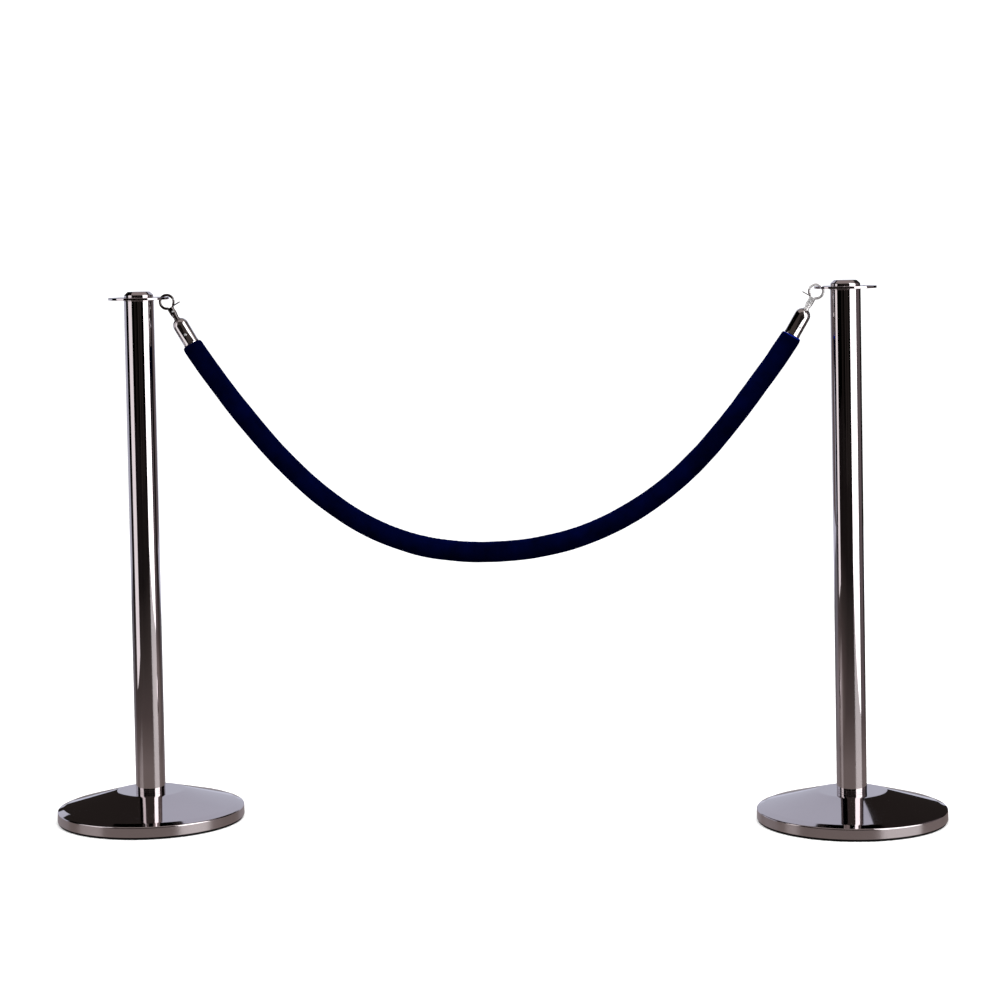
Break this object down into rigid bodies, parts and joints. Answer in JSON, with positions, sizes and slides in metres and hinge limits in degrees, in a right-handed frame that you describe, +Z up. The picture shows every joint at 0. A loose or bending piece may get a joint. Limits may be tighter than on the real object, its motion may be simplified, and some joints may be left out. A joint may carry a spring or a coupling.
{
  "type": "rope barrier set",
  "caption": "Rope barrier: round-based polished posts with holed ring plates, joined by a plush rope with swivel snap hooks.",
  "frame": {"origin": "on the floor, midway between the axes of the posts", "axes": "+X along the line of posts, +Y to the back, +Z up"},
  "size_m": [1.52, 0.32, 0.91],
  "materials": {
    "polished_steel": "mirror polished stainless steel",
    "chromed_zinc": "bright chrome plate",
    "plain_steel": "zinc plated",
    "cast_iron": "rough cast, black paint",
    "black_rubber": "matte",
    "velvet": "navy velvet pile",
    "rope_stuffing": "cotton rope core"
  },
  "bodies": {
    "posts": {"base_cover_left": "polished_steel", "base_weight_left": "cast_iron", "foot_ring_left": "black_rubber", "base_bolt_left": "plain_steel", "base_washer_left": "plain_steel", "foot_plug_left": "polished_steel", "post_tube_left": "polished_steel", "head_plug_left": "plain_steel", "ring_plate_left": "polished_steel", "cap_stud_left": "plain_steel", "top_cap_left": "polished_steel", "base_cover_right": "polished_steel", "base_weight_right": "cast_iron", "foot_ring_right": "black_rubber", "base_bolt_right": "plain_steel", "base_washer_right": "plain_steel", "foot_plug_right": "polished_steel", "post_tube_right": "polished_steel", "head_plug_right": "plain_steel", "ring_plate_right": "polished_steel", "cap_stud_right": "plain_steel", "top_cap_right": "polished_steel"},
    "rope": {"rope_sleeve": "velvet", "rope_core": "rope_stuffing", "rope_end_left": "chromed_zinc", "rope_end_screw_left": "plain_steel", "swivel_stud_left": "chromed_zinc", "stud_washer_left": "plain_steel", "stud_nut_left": "plain_steel", "rope_end_right": "chromed_zinc", "rope_end_screw_right": "plain_steel", "swivel_stud_right": "chromed_zinc", "stud_washer_right": "plain_steel", "stud_nut_right": "plain_steel"},
    "hook_left": {"hook_body_left": "chromed_zinc", "gate_pin_left": "chromed_zinc", "gate_spring_left": "plain_steel"},
    "gate_left": {"hook_gate_left": "chromed_zinc"},
    "hook_right": {"hook_body_right": "chromed_zinc", "gate_pin_right": "chromed_zinc", "gate_spring_right": "plain_steel"},
    "gate_right": {"hook_gate_right": "chromed_zinc"}
  },
  "joints": [
    {"name": "rope_swing", "type": "hinge", "parent": "posts", "child": "rope", "pos_m": [0, 0, 0.9024], "axis": [1, 0, 0], "range_deg": [-20, 20]},
    {"name": "swivel_left", "type": "hinge", "parent": "rope", "child": "hook_left", "pos_m": [-0.53825, 0, 0.86867], "axis": [0.5, 0, -0.866], "range_deg": [-6, 6]},
    {"name": "gate_left_open", "type": "hinge", "parent": "hook_left", "child": "gate_left", "pos_m": [-0.54063, 0, 0.8748], "axis": [0, -1, 0], "range_deg": [0, 24], "stiffness_Nm_per_rad": 0.06, "springref_deg": -20.05, "deforming": ["gate_spring_left"]},
    {"name": "swivel_right", "type": "hinge", "parent": "rope", "child": "hook_right", "pos_m": [0.53825, 0, 0.86867], "axis": [-0.5, 0, -0.866], "range_deg": [-6, 6]},
    {"name": "gate_right_open", "type": "hinge", "parent": "hook_right", "child": "gate_right", "pos_m": [0.54063, 0, 0.8748], "axis": [0, 1, 0], "range_deg": [0, 24], "stiffness_Nm_per_rad": 0.06, "springref_deg": -20.05, "deforming": ["gate_spring_right"]}
  ]
}
